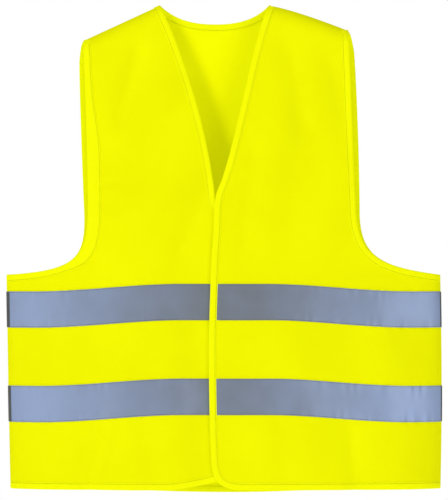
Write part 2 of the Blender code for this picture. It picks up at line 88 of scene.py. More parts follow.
# The looks: thicknesses, how far pieces stand off the cloth's middle, and how far they are sewn in.
# A front tape is sunk and held down under the front edge's binding, then rises to its full height.
# A tape's turned end reaches round the side join on to the front and the back, and each of its two
# faces stands (off the cloth, off the side join).
SEAM_INSET = 0.0003
CLOTH = 0.0005
TAPE = 0.0003
TAPE_PROUD, TAPE_SUNK = 0.0011, 0.00065
TAPE_HELD, TAPE_RISES_OVER, TAPE_SEAM_INSET = 0.0037, 0.004, 0.0012
TURN_REACH = {"left": 0.0012, "right": 0.0036}
TURN_OUTSIDE, TURN_INSIDE = (0.0016, 0.0007), (0.0013, 0.0004)
BINDING_WIDTH, BINDING_SLOT, BINDING_CROWN, BINDING_RIPPLE = 0.009, 0.0006, 0.0013, 0.00012
SIDE_JOIN_STANDS, SIDE_JOIN_BULGE, SIDE_JOIN_LIP = 0.0002, 0.0011, 0.0008
SIDE_JOIN_OUTSIDE, SIDE_JOIN_INSIDE, SIDE_JOIN_ENDS = 0.0004, 0.0002, 0.001
STITCH_PITCH, STITCH_LENGTH, STITCH_WIDTH = 0.0032, 0.0023, 0.0006
STITCH_ROUNDNESS = 0.55
BINDING_STITCH_INSET, BINDING_STITCH_LIES = 0.0018, 0.85 * BINDING_CROWN
PATCH_NEAR, PATCH_FAR, PATCH_SEWN_IN = 0.0006, 0.0015, 0.0015
LABEL_THICKNESS, LABEL_BOW, LABEL_WAVE = 0.0003, 0.0022, 0.0009

# How finely the looks are meshed
GRID = 0.006
OUTLINE_STEP, NECK_STEP = 0.005, 0.004
TAPE_STEP, TRACK_STEP = 0.0015, 0.002
OUTLINE_CLEARANCE = 0.0024
BEND_ROWS, BEND_CLEARANCE = 0.0037, 0.002
LABEL_COLUMNS, LABEL_ROWS = 15, 21
NORMAL_STEP = 0.0008
SHARP_ANGLE = math.radians(50)

# How the cloth moves: the room a front takes to bend open, its folds and drift, how far from the
# shoulder and the side it is held flat, and its puckers along the tapes
BEND_ROOM, BEND_MARGIN, BEND_U = 0.045, 0.004, 0.12
FOLD_DEPTH, DRIFT_HEIGHT = 2.0, 0.0010
HELD_AT_SHOULDER, HELD_AT_SIDE = 0.05, 0.03
PUCKER_REACH, PUCKER_LEAST, PUCKER_GAIN = 0.007, 0.00022, 0.00060

# Soft folds: (x, z) of both ends, half width, and how far out of the cloth, times FOLD_DEPTH
FRONT_FOLDS = [
    (-0.144, -0.149, -0.122, -0.070, 0.014, -0.0030),
    (-0.135, -0.175, -0.080, -0.120, 0.022, 0.0026),
    (-0.176, -0.249, -0.150, -0.243, 0.0045, -0.0010),
    (-0.174, -0.273, -0.158, -0.277, 0.0050, -0.0008),
    (-0.172, -0.226, -0.156, -0.216, 0.0050, -0.0007),
    (-0.150, -0.330, -0.040, -0.200, 0.030, 0.0030),
    (-0.060, -0.340, -0.020, -0.240, 0.016, -0.0020),
    (0.026, -0.318, 0.044, -0.215, 0.014, -0.0024),
    (0.050, -0.300, 0.085, -0.120, 0.030, 0.0030),
    (0.105, -0.160, 0.090, -0.070, 0.018, -0.0026),
    (0.130, -0.330, 0.180, -0.200, 0.024, 0.0022),
    (0.150, -0.090, 0.175, -0.200, 0.016, -0.0018),
    (-0.230, -0.500, -0.215, -0.400, 0.030, 0.0020),
    (-0.190, -0.665, -0.165, -0.585, 0.013, -0.0032),
    (-0.130, -0.660, -0.145, -0.560, 0.028, 0.0026),
    (-0.060, -0.650, -0.075, -0.460, 0.026, 0.0018),
    (0.060, -0.665, 0.050, -0.560, 0.020, 0.0020),
    (0.110, -0.620, 0.085, -0.450, 0.034, 0.0026),
    (0.183, -0.660, 0.176, -0.600, 0.014, -0.0030),
    (0.240, -0.630, 0.215, -0.430, 0.030, 0.0026),
]
BACK_FOLDS = [
    (-0.150, -0.300, -0.060, -0.120, 0.030, 0.0035),
    (0.040, -0.260, 0.120, -0.090, 0.026, 0.0030),
    (-0.020, -0.620, 0.010, -0.300, 0.040, 0.0030),
    (-0.200, -0.640, -0.170, -0.430, 0.024, -0.0025),
    (0.180, -0.650, 0.150, -0.420, 0.030, 0.0030),
]


# ---------------------------------------------------------------- the hung body

def smooth(share):
    """A share from 0 to 1, eased in and out, and held at both ends."""
    share = np.clip(share, 0, 1)
    return share * share * (3 - 2 * share)


def sway(z):
    """How far the cloth at this height hangs from the body's middle plane."""
    return TOP_SWAY * (1 + z / FRONT_LENGTH) * np.abs(1 + z / FRONT_LENGTH)


def side_line(z):
    """Half the body's width at this height."""
    below = np.minimum(0.0, z - WIDEST_Z)
    return HALF_WIDTH - HEM_TAPER * below * below


def shoulder_z(side, u):
    """Height of the shoulder line over this point of the pattern."""
    share = np.maximum(0.0, (u - NECK_U) / (SHOULDER_U - NECK_U))
    return -SHOULDER_DROP[side] * share ** SHOULDER_BOW[side]


def surface(side, layer, u, z):
    """The cloth's middle surface, without its folds."""
    down = np.clip(-z / FRONT_LENGTH, 0, 1)
    depth = TOP_HALF_DEPTH + (HEM_HALF_DEPTH - TOP_HALF_DEPTH) * down
    across = np.sqrt(np.maximum(0.0, 1 - np.minimum(1.0, np.abs(u) / HALF_WIDTH) ** BODY_POWER))
    below = np.clip(shoulder_z(side, np.abs(u)) - z, 0, CREST_HEIGHT)
    crest = np.sqrt(np.maximum(0.0, 1 - (1 - below / CREST_HEIGHT) ** 2))
    y = LAYER[layer] * depth * across * crest
    if layer == "front" and side == "right":
        y = y + TUCK * smooth((TUCK_FROM_U - u) / (TUCK_FROM_U - TUCK_TO_U))
    x = SIDE[side] * u * side_line(z) / HALF_WIDTH + sway(z)
    return np.stack([x, y, z + 0 * x], -1)


def outward(side, layer, u, z):
    """The cloth's outward normal."""
    inner = np.minimum(u, SIDE_U - NORMAL_STEP)
    here = surface(side, layer, inner, z)
    along = surface(side, layer, inner + NORMAL_STEP, z) - here
    down = surface(side, layer, inner, z - NORMAL_STEP) - here
    normal = np.cross(along, down)
    normal /= np.linalg.norm(normal, axis=-1, keepdims=True)
    return normal * np.sign(normal[..., 1:2] * LAYER[layer] + 1e-12)


def ridge(x, z, fold):
    """One soft fold: highest along its line, fading across it and towards its ends."""
    x0, z0, x1, z1, half_width, height = fold
    dx, dz = x1 - x0, z1 - z0
    length = math.hypot(dx, dz)
    along = ((x - x0) * dx + (z - z0) * dz) / length**2
    across = ((x - x0) * dz - (z - z0) * dx) / length / half_width
    beyond = (along - np.clip(along, 0, 1)) * length / (1.4 * half_width)
    return height * np.exp(-across * across - beyond * beyond)


def tape_z(name, u):
    """Height of a tape's middle, which drops a little towards the sides."""
    share = smooth((np.abs(u) - TAPE_DROP_FROM_U) / TAPE_DROP_OVER)
    return TAPE_CENTRE_Z[name] - TAPE_SIDE_DROP * share


def pucker(layer, u, z):
    """The cloth drawn up in small waves along the tapes' stitched edges, most near the sides."""
    total = 0 * z
    for name, lag in (("upper", 0.0), ("lower", 1.9)):
        for edge, turn in ((1, 0.0), (-1, 2.4)):
            away = (z - tape_z(name, u) - edge * TAPE_WIDTH / 2) / PUCKER_REACH
            phase = u * 330 + 2.2 * np.sin(u * 61 + lag) + 1.3 * np.sin(u * 143 + turn) + turn + lag
            strength = PUCKER_LEAST + PUCKER_GAIN * smooth((np.abs(u) - 0.05) / 0.20)
            total = total + strength * np.sin(phase) * np.exp(-away * away)
    return total * (1 if layer == "front" else 0.8)


def fold_height(side, layer, u, z):
    """How far the folds lift the cloth off its smooth surface."""
    x = SIDE[side] * u + sway(z)
    folds = FRONT_FOLDS if layer == "front" else BACK_FOLDS
    lift = FOLD_DEPTH * sum(ridge(x, z, fold) for fold in folds)
    lift = lift + DRIFT_HEIGHT * np.sin(23 * x + 9 * z) * np.sin(15 * z - 11 * x + 1)
    below_shoulder = smooth((shoulder_z(side, np.abs(u)) - z) / HELD_AT_SHOULDER)
    from_side = smooth((SIDE_U - np.abs(u)) / HELD_AT_SIDE)
    return (lift + pucker(layer, u, z)) * (below_shoulder * from_side)


def hang(side, layer, points, proud=0.0):
    """Pattern points hung on the body with their folds, stood proud of the cloth's middle."""
    points = np.asarray(points, float)
    u, z = points[..., 0], points[..., 1]
    lift = fold_height(side, layer, u, z) + proud
    return surface(side, layer, u, z) + outward(side, layer, u, z) * lift[..., None]


# ---------------------------------------------------------------- pattern curves

def bezier(start, handle_a, handle_b, end, pieces=24):
    """Points along a cubic curve, without its end."""
    t = (np.arange(pieces) / pieces)[:, None]
    corners = [np.array(p, float) for p in (start, handle_a, handle_b, end)]
    weights = ((1 - t) ** 3, 3 * t * (1 - t) ** 2, 3 * t * t * (1 - t), t**3)
    return [p for p in sum(c * w for c, w in zip(corners, weights))]


def resampled(path, step):
    """The path with its points evenly spaced, about a step apart, and its ends kept."""
    path = np.array(path, float)
    lengths = np.linalg.norm(np.diff(path, axis=0), axis=1)
    along = np.concatenate([[0], np.cumsum(lengths)])
    count = max(2, round(along[-1] / step) + 1)
    places = np.linspace(0, along[-1], count)
    return np.stack([np.interp(places, along, path[:, i]) for i in range(path.shape[1])], 1)


def armhole(side, layer):
    """From the shoulder's outer end down to the underarm."""
    seam = np.array((SHOULDER_U, -SHOULDER_DROP[side] - SEAM_INSET))
    spread = BACK_SPREAD if layer == "back" else 0.0
    crest = [seam + (spread * math.sqrt(s), -s * CREST_DROP) for s in np.linspace(0, 1, 12)]
    top = crest.pop()
    end = np.array((SIDE_U, UNDERARM_Z))
    if layer == "front":
        waist = (0.185, -0.290)
        upper = bezier(top, (0.1835, -0.090), (0.183, -0.220), waist)
        lower = bezier(waist, (0.188, -0.354), UNDERARM_HANDLE[side], end)
    else:
        waist = (0.1918, -0.290)
        upper = bezier(top, (0.1925, top[1] - 0.022), (0.1935, -0.200), waist)
        lower = bezier(waist, (0.1915, -0.352), UNDERARM_HANDLE[side], end)
    return resampled([*crest, *upper, *lower, end], OUTLINE_STEP)


def shoulder_edge(side):
    """From the neck point to the shoulder's outer end."""
    u = np.linspace(NECK_U, SHOULDER_U, 24)
    return np.stack([u, shoulder_z(side, u) - SEAM_INSET], 1)


def front_edge(side):
    """From the neck point down the V and the front edge, round the corner and along the hem."""
    top = (NECK_U, -SEAM_INSET)
    if side == "left":
        turn, v_foot = (-0.0040, -0.257), (-0.0108, -0.312)
        foot, hem = (-0.0186, -0.630), (0.022, -FRONT_LENGTH)
        path = bezier(top, (0.052, -0.045), (0.020, -0.210), turn, 40)
        path += bezier(turn, (-0.0085, -0.2675), (-0.0100, -0.285), v_foot)
        path += bezier(v_foot, (-0.0175, -0.370), (-0.0250, -0.500), foot, 40)
        path += bezier(foot, (-0.0175, -0.655), (-0.010, -0.6705), hem)
    else:
        v_foot, bend = (0.010, -0.270), (-0.026, -0.315)
        foot, hem = (-0.026, -0.600), (0.075, -FRONT_LENGTH)
        path = bezier(top, (0.050, -0.060), (0.017, -0.171), v_foot, 40)
        path += bezier(v_foot, (0.008, -0.290), (-0.025, -0.292), bend)
        path += bezier(bend, (-0.026, -0.40), (-0.026, -0.50), foot)
        path += bezier(foot, (-0.026, -0.655), (0.006, -0.6615), hem)
    u = np.linspace(hem[0], SIDE_U, 60)
    return resampled([*path, *np.stack([u, hem_z(u, "front")], 1)], OUTLINE_STEP)


def hem_z(u, layer):
    """Height of the hem: level along the front, lowest in the middle of the back."""
    share = np.minimum(1.0, np.abs(u) / SIDE_U)
    if layer == "front":
        return -FRONT_LENGTH + (FRONT_LENGTH - SIDE_LENGTH) * share**4
    return -BACK_LENGTH + (BACK_LENGTH - SIDE_LENGTH) * np.sin(share * math.pi / 2) ** 2


def side_edge():
    """The side, from the hem up to the underarm."""
    z = np.linspace(-SIDE_LENGTH, UNDERARM_Z, 60)
    return np.stack([np.full_like(z, SIDE_U), z], 1)


def back_neck():
    """The back neckline, from the neck point to the middle."""
    top, low = (NECK_U, -SEAM_INSET), (0.0, -BACK_NECK_DROP)
    return resampled([*bezier(top, (0.063, -0.013), (0.043, -0.0262), low), low], NECK_STEP)


def front_outline(side):
    """A whole front: front edge, hem, side, armhole and shoulder."""
    path = [*front_edge(side), *side_edge()[1:]]
    return np.array([*path, *armhole(side, "front")[-2::-1], *shoulder_edge(side)[-2:0:-1]])


def back_outline(side):
    """Half of the back, from the middle of the hem round to the middle of the neckline."""
    u = np.linspace(0, SIDE_U, 60)
    path = [*np.stack([u, hem_z(u, "back")], 1), *side_edge()[1:]]
    path += [*armhole(side, "back")[-2::-1], *shoulder_edge(side)[-2::-1]]
    return np.array([*path, *back_neck()[1:]])


def flat_area(outline):
    """The area inside a closed outline."""
    x, z = outline[:, 0], outline[:, 1]
    return 0.5 * abs(float(np.dot(x, np.roll(z, -1)) - np.dot(z, np.roll(x, -1))))


# ---------------------------------------------------------------- mesh helpers

def new_piece(name, points, faces, finish, shade_smooth=True):
    """A mesh object from points and faces, with its faces turned outwards."""
    mesh = bpy.data.meshes.new(name)
    mesh.from_pydata([tuple(p) for p in points], [], [tuple(f) for f in faces])
    mesh.materials.append(finish)
    bm = bmesh.new()
    bm.from_mesh(mesh)
    bmesh.ops.recalc_face_normals(bm, faces=bm.faces)
    bm.to_mesh(mesh)
    bm.free()
    if shade_smooth:
        mesh.shade_smooth()
        mesh.set_sharp_from_angle(angle=SHARP_ANGLE)
    made = bpy.data.objects.new(name, mesh)
    bpy.context.scene.collection.objects.link(made)
    return made


def within(points, outline, clearance):
    """Which points lie in a closed outline, and at least a clearance from it."""
    a, b = outline, np.roll(outline, -1, axis=0)
    x, z = points[:, 0, None], points[:, 1, None]
    crosses = (a[:, 1] > z) != (b[:, 1] > z)
    rise = np.where(b[:, 1] == a[:, 1], 1.0, b[:, 1] - a[:, 1])
    at_x = a[:, 0] + (b[:, 0] - a[:, 0]) * (z - a[:, 1]) / rise
    inside = (crosses & (x < at_x)).sum(axis=1) % 2 == 1
    gap = np.sqrt(((points[:, None] - outline[None]) ** 2).sum(-1)).min(axis=1)
    return inside & (gap > clearance)


def pattern_grid(side):
    """Points over the pattern: finer towards the side and over the shoulder."""
    middle, outer, by_the_side = (-0.030, 0.262), (0.264, 0.292), [0.2935, 0.296, 0.2982]
    u = np.concatenate([np.arange(*middle, GRID), np.arange(*outer, 0.004), by_the_side])
    z = np.arange(-0.030, -BACK_LENGTH, -GRID)
    grid = np.stack(np.meshgrid(u, z), -1).reshape(-1, 2)
    first_u, last_u = NECK_U - 0.03, SHOULDER_U + 0.01
    over = (grid[:, 0] > first_u) & (grid[:, 1] > shoulder_z(side, grid[:, 0]) - 0.027)
    drops = np.array([0.0015, 0.003, 0.005, 0.0075, 0.0105, 0.014, 0.018, 0.0225])
    columns = u[(u > first_u) & (u < last_u)]
    crest = [(c, shoulder_z(side, c) - d) for c in columns for d in drops]
    return np.concatenate([grid[~over], np.array(crest)])


def bend_grid(side, grid):
    """The grid with finer points where a front bends open under its tapes."""
    rows = np.arange(-0.033, 0.034, BEND_ROWS)
    finer = []
    for tape in TAPE_CENTRE_Z:
        for z in tape_z(tape, BEND_U) + rows:
            fold = fold_u(side, z)
            u = np.arange(fold - (BEND_ROOM + BEND_MARGIN), fold + BEND_MARGIN, TAPE_STEP)
            finer.append(np.stack([u, 0 * u + z], 1))
            near_row = np.abs(grid[:, 1] - z) < BEND_ROWS
            after_start = grid[:, 0] > u[0] - BEND_CLEARANCE
            before_end = grid[:, 0] < u[-1] + BEND_CLEARANCE
            grid = grid[~(near_row & after_start & before_end)]
    return np.concatenate([grid, *finer])


def joint_named(name):
    """One of the joints of the CAD frame."""
    return next(joint for joint in frame["joints"] if joint["name"] == name)


def fold_u(side, z):
    """Where the line about which a front opens crosses this height."""
    joint = joint_named(f"{side}_front_open")
    place, axis = joint["pos_m"], joint["axis"]
    x = place[0] + axis[0] * (z - place[2]) / axis[2]
    return SIDE[side] * (x - sway(z)) * HALF_WIDTH / side_line(z)


def filled(outline, grid):
    """(points, triangles) of the cloth inside an outline."""
    inner = grid[within(grid, outline, OUTLINE_CLEARANCE)]
    points = [Vector(p) for p in (*outline, *inner)]
    count = len(outline)
    edges = [(i, (i + 1) % count) for i in range(count)]
    flat, _, faces, *_ = delaunay_2d_cdt(points, edges, [], 1, 1e-7)
    return np.array([tuple(p) for p in flat]), [list(f) for f in faces]


def solid(outer, inner, faces):
    """(points, faces) of a closed solid between two copies of a sheet."""
    count = len(outer)
    uses = {(a, b) for f in faces for a, b in zip(f, f[1:] + f[:1])}
    rim = [(a, b) for a, b in uses if (b, a) not in uses]
    closed = [tuple(f) for f in faces]
    closed += [tuple(count + i for i in reversed(f)) for f in faces]
    closed += [(b, a, count + a, count + b) for a, b in sorted(rim)]
    return np.concatenate([outer, inner]), closed


def front_cloth(side, finish):
    """A whole front as one sheet, meshed finer where it opens."""
    flat, faces = filled(front_outline(side), bend_grid(side, pattern_grid(side)))
    outer = hang(side, "front", flat, CLOTH / 2)
    inner = hang(side, "front", flat, -CLOTH / 2)
    return new_piece(f"{side}_front_cloth", *solid(outer, inner, faces), finish)


def back_cloth(finish):
    """The whole back: two halves that share the points on the middle line."""
    outers, inners, faces, index_of = [], [], [], {}
    for side in SIDE:
        grid = pattern_grid(side)
        middle = np.arange(-BACK_NECK_DROP - GRID, -BACK_LENGTH + 0.003, -GRID)
        outline = np.array([*back_outline(side), *[(0.0, z) for z in middle]])
        flat, triangles = filled(outline, grid[grid[:, 0] > 0.001])
        outer = hang(side, "back", flat, CLOTH / 2)
        inner = hang(side, "back", flat, -CLOTH / 2)
        place = []
        for i, (u, z) in enumerate(flat):
            key = round(z, 6) if u < 1e-5 else (side, i)
            if key not in index_of:
                index_of[key] = len(outers)
                outers.append(outer[i])
                inners.append(inner[i])
            place.append(index_of[key])
        turned = [[place[i] for i in f] for f in triangles]
        faces += turned if side == "left" else [f[::-1] for f in turned]
    return new_piece("back_cloth", *solid(np.array(outers), np.array(inners), faces), finish)


def swept(rings):
    """(points, faces) of a closed solid through rings of points, capped at both ends."""
    count, size = rings.shape[:2]
    faces = []
    for i in range(count - 1):
        for k in range(size):
            m = (k + 1) % size
            here, after = i * size, (i + 1) * size
            faces.append((here + k, here + m, after + m, after + k))
    faces.append(tuple(range(size)))
    faces.append(tuple((count - 1) * size + k for k in reversed(range(size))))
    return rings.reshape(-1, 3), faces


def headings(path):
    """Unit directions along a path."""
    along = np.gradient(path, axis=0)
    return along / np.linalg.norm(along, axis=1, keepdims=True)


def binding_profile():
    """The folded binding's section: (into the cloth, out of the cloth), stitched near its edge."""
    w, crown, slot = BINDING_WIDTH, BINDING_CROWN, BINDING_SLOT
    outer = [(w, slot + 0.0002), (0.95 * w, crown * 0.80), (0.82 * w, crown * 0.64),
             (0.70 * w, crown * 0.92), (0.45 * w, crown * 1.08), (0.15 * w, crown)]
    nose = [(-0.0004, crown * 0.86), (-0.0011, crown * 0.45)]
    half = outer + nose
    back = [(b, -n) for b, n in reversed(half)]
    return half + back + [(w, -slot), (0.0, -slot), (-0.0003, 0.0), (0.0, slot), (w, slot)]


def binding_widths(side, layer, path):
    """How wide the binding is along a path: all alike, but for the wider turning of the right
    front armhole below the chest."""
    u, z = path[:, 0], path[:, 1]
    if (side, layer) != ("right", "front") or u.min() < SHOULDER_U - 0.01:
        return np.full(len(path), BINDING_WIDTH)
    down = smooth((FACING_FROM_Z - z) / FACING_GROWS_OVER)
    return BINDING_WIDTH + FACING_EXTRA * down * smooth((FACING_ENDS_U - u) / FACING_FADES_OVER)


def binding_rings(side, layer, path, inner_side):
    """Rings of the binding along an edge. inner_side is 1 where the cloth lies to the left of the
    path's direction in the pattern, and -1 where it lies to the right."""
    widths = binding_widths(side, layer, path)
    along = headings(path)
    inward = np.stack([-along[:, 1], along[:, 0]], 1) * inner_side
    base = hang(side, layer, path)
    near = path + inward * 0.002
    into = hang(side, layer, np.minimum(near, (SIDE_U, 1))) - base
    into /= np.maximum(np.linalg.norm(into, axis=1, keepdims=True), 1e-9)
    normal = outward(side, layer, path[:, 0], path[:, 1])
    rings = []
    for b, n in binding_profile():
        if b > 0:
            ripple = BINDING_RIPPLE * np.sin(np.arange(len(path)) * 1.9) * (b / BINDING_WIDTH)
            reach = b * widths / BINDING_WIDTH
            place = np.minimum(path + inward * reach[:, None], (SIDE_U, 1))
            rings.append(hang(side, layer, place, n) + normal * ripple[:, None])
        else:
            rings.append(base + into * b + normal * n)
    return np.stack(rings, 1)


def stitches(name, tracks, finish):
    """Short raised stitches laid end to end along tracks of (points, outward normals)."""
    section = [(-1, 0), (-0.6, 0.8), (0, 1), (0.6, 0.8), (1, 0), (0, -0.5)]
    points, faces = [], []
    for track, normals in tracks:
        lengths = np.linalg.norm(np.diff(track, axis=0), axis=1)
        along = np.concatenate([[0], np.cumsum(lengths)])
        places = np.arange(STITCH_PITCH / 2, along[-1] - STITCH_PITCH / 2, STITCH_PITCH)
        for place in places:
            rows = []
            for share, swell in ((-0.5, 0.35), (-0.28, 0.95), (0.28, 0.95), (0.5, 0.35)):
                at = place + share * STITCH_LENGTH
                middle = np.array([np.interp(at, along, track[:, i]) for i in range(3)])
                out = np.array([np.interp(at, along, normals[:, i]) for i in range(3)])
                rows.append((middle, out / np.linalg.norm(out), swell))
            ahead = rows[-1][0] - rows[0][0]
            ahead /= np.linalg.norm(ahead)
            rings = []
            for middle, out, swell in rows:
                across = np.cross(ahead, out)
                rings.append([
                    middle + across * a * swell * STITCH_WIDTH / 2
                    + out * b * swell * STITCH_WIDTH * STITCH_ROUNDNESS for a, b in section
                ])
            own_points, own_faces = swept(np.array(rings))
            faces += [tuple(len(points) + corner for corner in face) for face in own_faces]
            points += list(own_points)
    made = new_piece(name, points, faces, finish)
    return made


def track_on(side, layer, path, proud):
    """A stitch line along a pattern path: its points and the cloth's normals there."""
    path = resampled(path, TRACK_STEP)
    return hang(side, layer, path, proud), outward(side, layer, path[:, 0], path[:, 1])


def inset(path, distance, inner_side):
    """The path moved sideways into the cloth, on the same side as in binding_rings."""
    along = headings(path)
    distance = np.reshape(distance, (-1, 1))
    moved = path + np.stack([-along[:, 1], along[:, 0]], 1) * inner_side * distance
    return np.minimum(moved, (SIDE_U - 0.0005, 1))


# ---------------------------------------------------------------- materials

def shader_of(name, colour, roughness, specular=0.3):
    """(a new material, its shader, its node tree)."""
    made = bpy.data.materials.new(name)
    made.use_nodes = True
    shader = made.node_tree.nodes["Principled BSDF"]
    shader.inputs["Base Color"].default_value = (*colour, 1)
    shader.inputs["Roughness"].default_value = roughness
    shader.inputs["Specular IOR Level"].default_value = specular
    return made, shader, made.node_tree


def node(tree, kind, links=(), **settings):
    """A shader node with its properties or inputs set, and its inputs linked."""
    made = tree.nodes.new(kind)
    for key, value in settings.items():
        if hasattr(made, key):
            setattr(made, key, value)
        else:
            made.inputs[key.replace("_", " ")].default_value = value
    for key, source in links:
        tree.links.new(source, made.inputs[key])
    return made


def object_coords(tree):
    """The piece's own coordinates, in metres."""
    return node(tree, "ShaderNodeTexCoord").outputs["Object"]


def ranged(tree, value, low, high):
    """A value mapped from low..high to 0..1, and held there."""
    made = node(tree, "ShaderNodeMapRange", [("Value", value)])
    made.inputs["From Min"].default_value = low
    made.inputs["From Max"].default_value = high
    return made.outputs[0]


def scaled_and_added(tree, value, factor, addend):
    """A value times a factor, plus another value."""
    made = node(tree, "ShaderNodeMath", [(0, value), (2, addend)], operation="MULTIPLY_ADD")
    made.inputs[1].default_value = factor
    return made.outputs[0]


def between(tree, shader, share, colour_a, colour_b):
    """Base colour mixed from two colours by a share."""
    mix = node(tree, "ShaderNodeMix", [(0, share)], data_type="RGBA")
    mix.inputs[6].default_value = (*colour_a, 1)
    mix.inputs[7].default_value = (*colour_b, 1)
    tree.links.new(mix.outputs[2], shader.inputs["Base Color"])


def varied(tree, shader, coords, colour_a, colour_b, scale):
    """Base colour that drifts softly between two colours over the cloth."""
    drift = node(tree, "ShaderNodeTexNoise", [("Vector", coords)], Scale=scale, Detail=3.0)
    between(tree, shader, drift.outputs["Fac"], colour_a, colour_b)


def bumped(tree, shader, height, strength, distance):
    """Raises the surface by a height texture, as seen and not in its shape."""
    bump = node(tree, "ShaderNodeBump", [("Height", height)], Strength=strength, Distance=distance)
    tree.links.new(bump.outputs["Normal"], shader.inputs["Normal"])


def woven_bump(tree, shader, coords, period, depth, grain):
    """Fine crossed ribs, a period apart one way and a quarter wider apart the other, roughened by
    a little noise. At a scale of 1 the bands of a wave texture are 2 pi / 20 apart."""
    ribs = 2 * math.pi / 20 / period
    warp = node(tree, "ShaderNodeTexWave", [("Vector", coords)], bands_direction="X", Scale=ribs,
                Distortion=0.6)
    weft = node(tree, "ShaderNodeTexWave", [("Vector", coords)], bands_direction="Z",
                Scale=ribs * 0.8, Distortion=0.6)
    both = node(tree, "ShaderNodeMath", [(0, warp.outputs["Fac"]), (1, weft.outputs["Fac"])],
                operation="MULTIPLY")
    fuzz = node(tree, "ShaderNodeTexNoise", [("Vector", coords)], Scale=grain, Detail=4.0)
    height = node(tree, "ShaderNodeMath", [(0, both.outputs[0]), (1, fuzz.outputs["Fac"])],
                  operation="ADD")
    bumped(tree, shader, height.outputs[0], 0.6, depth)


def add_painted_glow(shader, colour, strength):
    """A small even glow painted on. On the vest it is painted light that lifts the cloth's shade,
    and stands in for the dye's fluorescence.
    """
    shader.inputs["Emission Color"].default_value = (*colour, 1)
    shader.inputs["Emission Strength"].default_value = strength


def cloth_finish(name, painted_glow_strength):
    made, shader, tree = shader_of(name, (0.84, 0.87, 0.0), 0.9, 0.03)
    coords = object_coords(tree)
    varied(tree, shader, coords, (0.78, 0.80, 0.0), (0.87, 0.90, 0.0), 9.0)
    woven_bump(tree, shader, coords, 0.0012, 0.00006, 900.0)
    # painted glow: lifts the knit's shade evenly, standing in for the dye's fluorescence
    add_painted_glow(shader, (0.90, 0.91, 0.0), painted_glow_strength)
    return made


def binding_finish():
    made, shader, tree = shader_of("binding_weave", (0.84, 0.88, 0.0), 0.8, 0.05)
    coords = object_coords(tree)
    varied(tree, shader, coords, (0.83, 0.86, 0.0), (0.88, 0.92, 0.0), 40.0)
    woven_bump(tree, shader, coords, 0.0008, 0.00008, 1500.0)
    # painted glow, lifting the binding's shade like the knit's
    add_painted_glow(shader, (0.88, 0.92, 0.0), 0.12)
    return made


def thread_finish(name, colour):
    made, shader, tree = shader_of(name, colour, 0.6, 0.1)
    coords = object_coords(tree)
    twist = node(tree, "ShaderNodeTexWave", [("Vector", coords)], bands_direction="DIAGONAL",
                 Scale=900.0)
    bumped(tree, shader, twist.outputs["Fac"], 0.5, 0.0001)
    return made


def tape_finish():
    """Silver glass bead tape with a painted reflection: grey in the middle of the vest, lighter and
    bluer towards its sides and on the lower tape.
    """
    made, shader, tree = shader_of("bead_tape", (0.24, 0.28, 0.36), 0.45, 0.4)
    coords = object_coords(tree)
    parts = node(tree, "ShaderNodeSeparateXYZ", [("Vector", coords)])
    # painted reflection: the tape turns lighter and bluer with distance from the middle, and lower
    # down
    from_middle = node(tree, "ShaderNodeMath", [(0, parts.outputs["X"])], operation="ABSOLUTE")
    share = ranged(tree, from_middle.outputs[0], 0.03, 0.27)
    lower = ranged(tree, parts.outputs["Z"], -0.45, -0.52)
    painted_reflection_share = scaled_and_added(tree, lower, 0.22, share)
    clouds = node(tree, "ShaderNodeTexNoise", [("Vector", coords)], Scale=26.0, Detail=4.0)
    painted_reflection_with_clouds = scaled_and_added(tree, clouds.outputs["Fac"], 0.5, painted_reflection_share)
    grey, painted_reflection_blue = (0.185, 0.21, 0.25), (0.31, 0.40, 0.62)
    between(tree, shader, ranged(tree, painted_reflection_with_clouds, 0.22, 1.45), grey, painted_reflection_blue)
    beads = node(tree, "ShaderNodeTexVoronoi", [("Vector", coords)], Scale=1600.0)
    bumped(tree, shader, beads.outputs["Distance"], 0.3, 0.00005)
    shader.inputs["Metallic"].default_value = 0.25
    return made


def shaded_turned_tape_finish():
    """The same tape where it turns away at the side, in a dark copy: painted shade for the tape
    seen edge on.
    """
    # painted shade: a dark copy of the tape's colour
    made, shader, tree = shader_of("turned_bead_tape_painted_shade", (0.08, 0.085, 0.08), 0.5, 0.3)
    coords = object_coords(tree)
    varied(tree, shader, coords, (0.06, 0.065, 0.06), (0.11, 0.115, 0.11), 60.0)
    woven_bump(tree, shader, coords, 0.0006, 0.00005, 1500.0)
    return made


def pile_finish():
    made, shader, tree = shader_of("hook_and_loop_pile", (0.70, 0.74, 0.01), 0.9, 0.1)
    coords = object_coords(tree)
    varied(tree, shader, coords, (0.60, 0.64, 0.01), (0.78, 0.82, 0.01), 700.0)
    tufts = node(tree, "ShaderNodeTexVoronoi", [("Vector", coords)], Scale=900.0)
    bumped(tree, shader, tufts.outputs["Distance"], 1.0, 0.0006)
    return made


def label_finish():
    made, shader, tree = shader_of("label_weave", (0.85, 0.86, 0.84), 0.45, 0.4)
    coords = object_coords(tree)
    varied(tree, shader, coords, (0.82, 0.83, 0.81), (0.88, 0.89, 0.87), 60.0)
    woven_bump(tree, shader, coords, 0.0005, 0.00004, 2000.0)
    return made


# ---------------------------------------------------------------- pieces


def swing(piece):
    """Bakes the place of a piece that crosses a front's fold line into its mesh."""
    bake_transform(piece)


def edge_u(side, z):
    """Where the front edge lies at this height."""
    path = front_edge(side)
    down = path[(path[:, 1] < -0.3) & (path[:, 0] < 0.0)]
    return np.interp(z, down[::-1, 1], down[::-1, 0])


def side_half_depth(z):
    """Half the gap between the front's and the back's edges at the side."""
    depth = TOP_HALF_DEPTH + (HEM_HALF_DEPTH - TOP_HALF_DEPTH) * -z / FRONT_LENGTH
    return depth * math.sqrt(1 - (SIDE_U / HALF_WIDTH) ** BODY_POWER)


